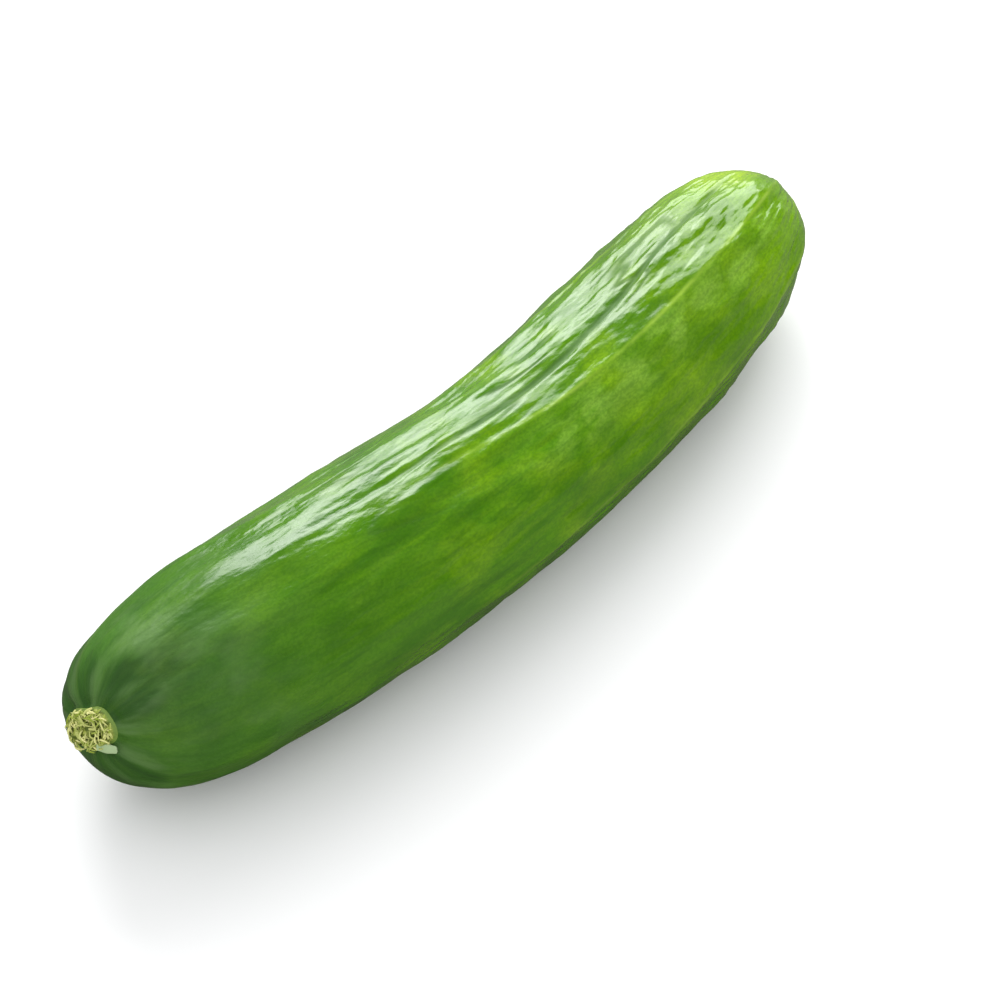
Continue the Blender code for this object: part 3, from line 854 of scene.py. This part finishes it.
TORN_RIM = (0.20, 0.32, 0.05, 1.0)
STRAND_PALE = (0.84, 0.82, 0.34, 1.0)
STRAND_GREEN = (0.30, 0.40, 0.03, 1.0)
CHIP_PALE = (0.42, 0.56, 0.30, 1.0)


def end_station(end, reach):
    """Station whose ring lies at a distance from the scar's middle; end is -1 at the stalk and 1 at the
    flower."""
    share = np.clip(reach / HALF_WIDTH, 0, 1)
    return end * (1 - share**2) ** (1 / bluntness(np.float64(end)))


def cap_faces(rings, around):
    """A fan round a single point and quads between the rings that follow it."""
    faces = [(0, 1 + j, 1 + (j + 1) % around) for j in range(around)]
    for i in range(rings - 1):
        inner, outer = 1 + i * around, 1 + (i + 1) * around
        for j in range(around):
            k = (j + 1) % around
            faces.append((inner + j, outer + j, outer + k, inner + k))
    return faces


def on_flat_scar(reach, angle):
    """Places on a scar's face as if it were flat."""
    turn = np.radians(angle)
    return np.stack([reach * np.cos(turn), reach * np.sin(turn), 0 * reach], -1)


def scar_cap(name, end, rim_at, height_at):
    """A cap that fills the bed of a scar, its rim tucked under the skin."""
    angle = np.arange(CAP_AROUND) * 360 / CAP_AROUND
    steps, angles = np.meshgrid(np.linspace(0, 1, CAP_RINGS + 1)[1:], angle, indexing="ij")
    steps = np.concatenate([[0], (steps * CAP_OVERLAP).ravel()])
    angles = np.concatenate([[0], angles.ravel()])
    reach = steps * rim_at(angles)
    tucked = CAP_TUCK * rise(steps, 1, CAP_OVERLAP)
    points = surface(end_station(end, reach), angles, height_at(reach, angles) - tucked)
    faces = cap_faces(CAP_RINGS, CAP_AROUND)
    if end < 0:
        faces = [face[::-1] for face in faces]
    piece = new_piece(name, points, faces)
    add_place(piece.data, "on_scar", on_flat_scar(reach, angles))
    add_number(piece.data, "from_middle", steps)
    return piece


def stalk_scar_height(reach, angle):
    place = on_flat_scar(reach, angle)
    rim = stalk_rim(angle)
    on_scar = 1 - rise(reach, rim - SCAR_EDGE, rim)
    lumps = STALK_LUMPS * uneven(place, STALK_LUMP_LENGTH, STALK_LUMP_SEED)
    teeth = STALK_TEETH * uneven(place, STALK_TOOTH_LENGTH, STALK_TOOTH_SEED, FINE_WAVES)
    return on_scar * (STALK_SCAR_RISE + lumps + teeth)


def on_stalk_scar(across, up, height):
    """Points over the stalk scar's face, given across and up from its middle."""
    reach = np.hypot(across, up)
    return surface(end_station(-1, reach), np.degrees(np.arctan2(up, across)), STALK_SCAR_RISE + height)


def strand(draw, number):
    """Points of one torn vessel, ring after ring: a flat tapered ribbon that bows across the scar from one
    place on it to another."""
    angle = number * GOLDEN_ANGLE
    turn = radians(angle)
    out = stalk_rim(angle) * sqrt((number + 0.5) / STRANDS)
    start = np.array([np.cos(turn), np.sin(turn)]) * out
    for _ in range(STRAND_TRIES):
        heading = draw.uniform(0, tau)
        step = np.array([np.cos(heading), np.sin(heading)]) * draw.uniform(*STRAND_LENGTH)
        end = start + step
        if np.hypot(*end) < stalk_rim(np.degrees(np.arctan2(end[1], end[0]))):
            break
    f = np.linspace(0, 1, STRAND_STEPS)
    side = np.array([-step[1], step[0]]) / np.hypot(*step)
    bow = draw.uniform(-STRAND_CURL, STRAND_CURL) * np.sin(pi * f)
    line = start + f[:, None] * step + bow[:, None] * side
    raised = draw.uniform(*STRAND_LIFT) * np.sin(pi * f * draw.uniform(*STRAND_ARCH))
    raised += draw.uniform(0, STRAND_PILE)
    thick = draw.uniform(*STRAND_RADIUS) * (1 - STRAND_TAPER * (2 * (f - STRAND_THICKEST)) ** 2)
    round_it = -tau * np.arange(STRAND_SIDES) / STRAND_SIDES
    across = line[:, None, 0] + thick[:, None] * np.cos(round_it) * side[0]
    up = line[:, None, 1] + thick[:, None] * np.cos(round_it) * side[1]
    height = raised[:, None] + STRAND_FLATNESS * thick[:, None] * np.sin(round_it)
    return on_stalk_scar(across, up, height).reshape(-1, 3)


def ribbon_faces(start):
    faces = []
    for i in range(STRAND_STEPS - 1):
        for j in range(STRAND_SIDES):
            k = (j + 1) % STRAND_SIDES
            low, high = start + i * STRAND_SIDES, start + (i + 1) * STRAND_SIDES
            faces.append((low + j, low + k, high + k, high + j))
    last = start + (STRAND_STEPS - 1) * STRAND_SIDES
    faces.append(tuple(start + j for j in reversed(range(STRAND_SIDES))))
    faces.append(tuple(last + j for j in range(STRAND_SIDES)))
    return faces


def strands():
    draw = np.random.default_rng(STRAND_SEED)
    size = STRAND_STEPS * STRAND_SIDES
    points = np.concatenate([strand(draw, number) for number in range(STRANDS)])
    faces = [face for number in range(STRANDS) for face in ribbon_faces(number * size)]
    piece = new_piece("stalk_strands", points, faces)
    add_number(piece.data, "paleness", np.repeat(draw.uniform(size=STRANDS), size))
    return piece


def chip():
    """A rounded uneven flake, thin beside its length."""
    turn = radians(CHIP_ANGLE)
    out = np.array([np.cos(turn), np.sin(turn)])
    rim = stalk_rim(CHIP_ANGLE)
    across, up = out * rim * CHIP_PLACE
    here = Vector(on_stalk_scar(across, up, 0.0))
    normal = (Vector(on_stalk_scar(across, up, HALF_WIDTH)) - here).normalized()
    away = (Vector(on_stalk_scar(*(out * rim * CHIP_HEADING), 0.0)) - here).normalized()
    away.rotate(Quaternion(normal, radians(CHIP_TURN)))
    beside = normal.cross(away)
    wide, long, thick = CHIP_SIZE
    high_round, waves_round = CHIP_WAVES_ROUND
    high_along, waves_along = CHIP_WAVES_ALONG
    points = [here - away * long]
    for v in pi * np.arange(1, CHIP_ROWS) / CHIP_ROWS:
        for u in tau * np.arange(CHIP_AROUND) / CHIP_AROUND:
            wave = 1 + high_round * np.sin(waves_round * u + 1) + high_along * np.sin(waves_along * v)
            full = np.sin(v) ** CHIP_SQUARENESS * wave
            a = wide * full * np.sign(np.cos(u)) * np.abs(np.cos(u)) ** CHIP_SQUARENESS
            b = -long * np.cos(v)
            c = thick * full * np.sin(u)
            points.append(here + beside * a + away * b + normal * c)
    points.append(here + away * long)
    return new_piece("stalk_chip", points, tube_faces(CHIP_ROWS - 1, CHIP_AROUND))


def torn_material():
    material, tree, shader = plain_shader("torn_flesh", TORN_ROUGHNESS)
    pale = mottled(tree, attribute(tree, "on_scar", "Vector"), TORN_PATCHES)
    rim = between(tree, attribute(tree, "from_middle"), *TORN_RIM_FROM)
    colour = blended(tree, rim, blended(tree, pale, TORN_DARK, TORN_PALE), TORN_RIM)
    tree.links.new(colour, shader.inputs["Base Color"])
    return material


def strand_material():
    material, tree, shader = plain_shader("torn_vessels", STRAND_ROUGHNESS)
    pale = attribute(tree, "paleness")
    tree.links.new(blended(tree, pale, STRAND_GREEN, STRAND_PALE), shader.inputs["Base Color"])
    return material


def chip_material():
    material, tree, shader = plain_shader("stalk_chip", CHIP_ROUGHNESS)
    shader.inputs["Base Color"].default_value = CHIP_PALE
    return material


dress(scar_cap("stalk_scar", -1, stalk_rim, stalk_scar_height), torn_material())
dress(strands(), strand_material())
dress(chip(), chip_material())

# The scar of the flower
# Where the flower dropped off the tip, the skin closed with a button of pale dry cork, about a centimetre
# across. Its heart is sunken and brownish, and cracks run out of it in a star of three.

FLOWER_SCAR_RISE = 0.00035
FLOWER_HEART_RADIUS = 0.0026
FLOWER_HEART_SINK = 0.0001
FLOWER_CRACKS = 3
FLOWER_CRACK_DEPTH = 0.00025
CRACK_WANDER_SEED = 21
CRACK_WANDER = 0.2
CRACK_WANDER_LENGTH = 0.004
CRACK_SIDES = (0.90, 0.985)  # how nearly in line with a crack's middle it turns brown
CRACK_STARTS = (0.0002, 0.0008)
CRACK_ENDS = (0.0016, 0.0030)
CORK_SEED = 20
CORK_BUMPS = 0.00003
CORK_BUMP_LENGTH = 0.0008
CORK_ROUGHNESS = 0.75
CORK_PATCHES = {"length": 0.0016, "stretch": 1.0, "span": (0.2, 0.8)}
CORK_RING_WANDER = 0.16
CORK_EDGE_FROM = (0.95, 1.12)
TAN_RING_STARTS = (0.30, 0.42)
TAN_RING_ENDS = (0.54, 0.70, 1.0, 0.0)
TAN_STRENGTH = 0.75
CORK_CREAM = (0.86, 0.82, 0.50, 1.0)
CORK_EDGE = (0.62, 0.66, 0.16, 1.0)
CORK_TAN = (0.50, 0.34, 0.18, 1.0)
CORK_BROWN = (0.16, 0.07, 0.025, 1.0)


def flower_scar_height(reach, angle):
    rim = flower_rim(angle)
    button = FLOWER_SCAR_RISE * (1 - rise(reach, rim - SCAR_EDGE, rim))
    heart = 1 - rise(reach, FLOWER_HEART_RADIUS - SCAR_EDGE, FLOWER_HEART_RADIUS)
    cracks = (1 + np.cos(FLOWER_CRACKS * np.radians(angle))) / 2
    sunk = FLOWER_HEART_SINK + (FLOWER_CRACK_DEPTH - FLOWER_HEART_SINK) * cracks
    bumps = CORK_BUMPS * uneven(on_flat_scar(reach, angle), CORK_BUMP_LENGTH, CORK_SEED, FINE_WAVES)
    return button - heart * sunk + bumps


def flower_scar():
    """The cork button, with the brown star of its cracks marked on it."""
    piece = scar_cap("flower_scar", 1, flower_rim, flower_scar_height)
    place = np.empty(len(piece.data.vertices) * 3, np.float32)
    piece.data.attributes["on_scar"].data.foreach_get("vector", place)
    place = place.reshape(-1, 3)
    reach = np.hypot(place[:, 0], place[:, 1])
    wander = CRACK_WANDER * uneven(place, CRACK_WANDER_LENGTH, CRACK_WANDER_SEED)
    star = np.cos(FLOWER_CRACKS * (np.arctan2(place[:, 1], place[:, 0]) + wander))
    crack = rise(star, *CRACK_SIDES) * rise(reach, *CRACK_STARTS) * (1 - rise(reach, *CRACK_ENDS))
    add_number(piece.data, "crack", crack)
    return piece


def cork_material():
    material, tree, shader = plain_shader("dry_cork", CORK_ROUGHNESS)
    patches = mottled(tree, attribute(tree, "on_scar", "Vector"), CORK_PATCHES)
    out = plus(tree, attribute(tree, "from_middle"), times(tree, patches, CORK_RING_WANDER))
    colour = blended(tree, between(tree, out, *CORK_EDGE_FROM), CORK_CREAM, CORK_EDGE)
    ring = times(tree, between(tree, out, *TAN_RING_STARTS), between(tree, out, *TAN_RING_ENDS))
    colour = blended(tree, times(tree, ring, TAN_STRENGTH), colour, CORK_TAN)
    colour = blended(tree, attribute(tree, "crack"), colour, CORK_BROWN)
    tree.links.new(colour, shader.inputs["Base Color"])
    return material


dress(flower_scar(), cork_material())
